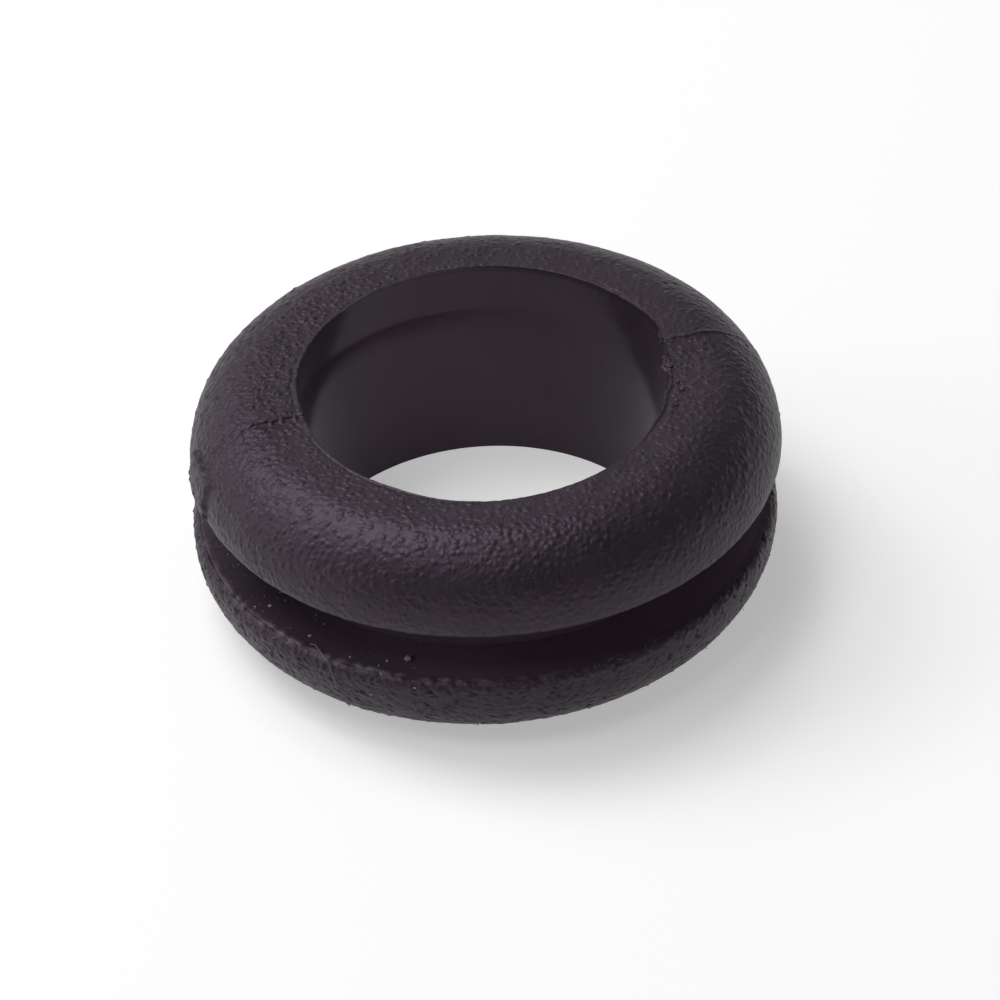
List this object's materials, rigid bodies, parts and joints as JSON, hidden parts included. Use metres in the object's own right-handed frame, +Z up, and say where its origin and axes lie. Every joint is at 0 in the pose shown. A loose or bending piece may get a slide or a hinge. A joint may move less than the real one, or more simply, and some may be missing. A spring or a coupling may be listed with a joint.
{
  "type": "rubber grommet",
  "caption": "Round moulded rubber grommet: a ring with rounded flanges and a groove that snaps into a panel hole, lining it so that a cable passes through the smooth bore unchafed",
  "frame": {"origin": "on the ring's axis, in the plane of the lower flange's flat face, which it stands on", "axes": "+Z up along the bore's axis; X and Y lie across the ring, which is round, so neither is special"},
  "size_m": [0.016, 0.016, 0.0063],
  "materials": {
    "rubber": "matte black moulded rubber, grained on the flanges and smooth in the bore"
  },
  "bodies": {
    "root": {"grommet": "rubber"}
  },
  "joints": []
}
